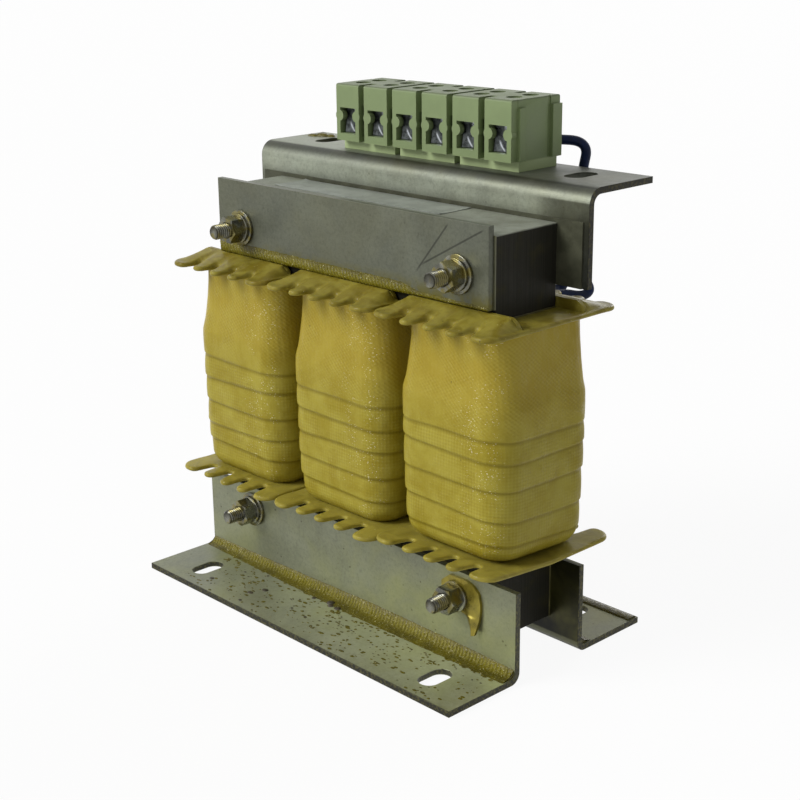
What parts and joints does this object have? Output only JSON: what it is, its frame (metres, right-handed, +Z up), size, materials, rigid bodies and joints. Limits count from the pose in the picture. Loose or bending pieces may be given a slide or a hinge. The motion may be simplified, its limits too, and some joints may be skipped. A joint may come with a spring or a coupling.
{
  "type": "three-phase load reactor",
  "caption": "Open-frame three-phase iron-core reactor with taped coils side by side, sheet-metal feet and a terminal block on a rear shelf.",
  "frame": {"origin": "centre of the four fixing slots, on the plane that the feet stand on", "axes": "+X along the core, from the left coil to the right one, +Y from the clamp bar's side to the terminal shelf's side, +Z up along the limbs"},
  "size_m": [0.149, 0.0936, 0.1679],
  "materials": {
    "core_steel": "matt laminated edge",
    "zinc_sheet": "zinc-plated, with dried resin",
    "zinc_fastener": "bright zinc plate",
    "tinned_tag": "tinned, resin-coated",
    "sleeve_tube": "matt",
    "insulation_board": "resin-soaked",
    "bobbin_plastic": "resin-coated",
    "copper_winding": "enamelled",
    "coil_tape": "resin-soaked weave",
    "terminal_plastic": "pale green, satin",
    "clamp_steel": "plated",
    "plated_brass": "tinned",
    "lead_insulation": "dark blue, satin"
  },
  "bodies": {
    "root": {"bobbin_left": "bobbin_plastic", "bobbin_middle": "bobbin_plastic", "bobbin_right": "bobbin_plastic", "bolt_sleeves": "sleeve_tube", "clamp_bolts": "zinc_fastener", "clamp_nuts": "zinc_fastener", "core_e_stack": "core_steel", "core_top_yoke": "core_steel", "current_bars": "plated_brass", "earth_tag": "tinned_tag", "front_clamp_bar": "zinc_sheet", "front_clamp_cages": "clamp_steel", "front_clamp_screws": "clamp_steel", "front_foot": "zinc_sheet", "front_washers": "zinc_fastener", "gap_spacer_left": "insulation_board", "gap_spacer_middle": "insulation_board", "gap_spacer_right": "insulation_board", "lead_1": "lead_insulation", "lead_2": "lead_insulation", "lead_3": "lead_insulation", "lead_4": "lead_insulation", "lead_5": "lead_insulation", "lead_6": "lead_insulation", "lower_front_insulation": "insulation_board", "lower_rear_insulation": "insulation_board", "rear_clamp_cages": "clamp_steel", "rear_clamp_screws": "clamp_steel", "rear_foot": "zinc_sheet", "rear_terminal_bracket": "zinc_sheet", "rear_washers": "zinc_fastener", "tape_wrap_left": "coil_tape", "tape_wrap_middle": "coil_tape", "tape_wrap_right": "coil_tape", "terminal_module_left": "terminal_plastic", "terminal_module_middle": "terminal_plastic", "terminal_module_right": "terminal_plastic", "upper_front_insulation": "insulation_board", "upper_rear_insulation": "insulation_board", "wide_front_washers": "zinc_fastener", "winding_left": "copper_winding", "winding_middle": "copper_winding", "winding_right": "copper_winding"}
  },
  "joints": []
}
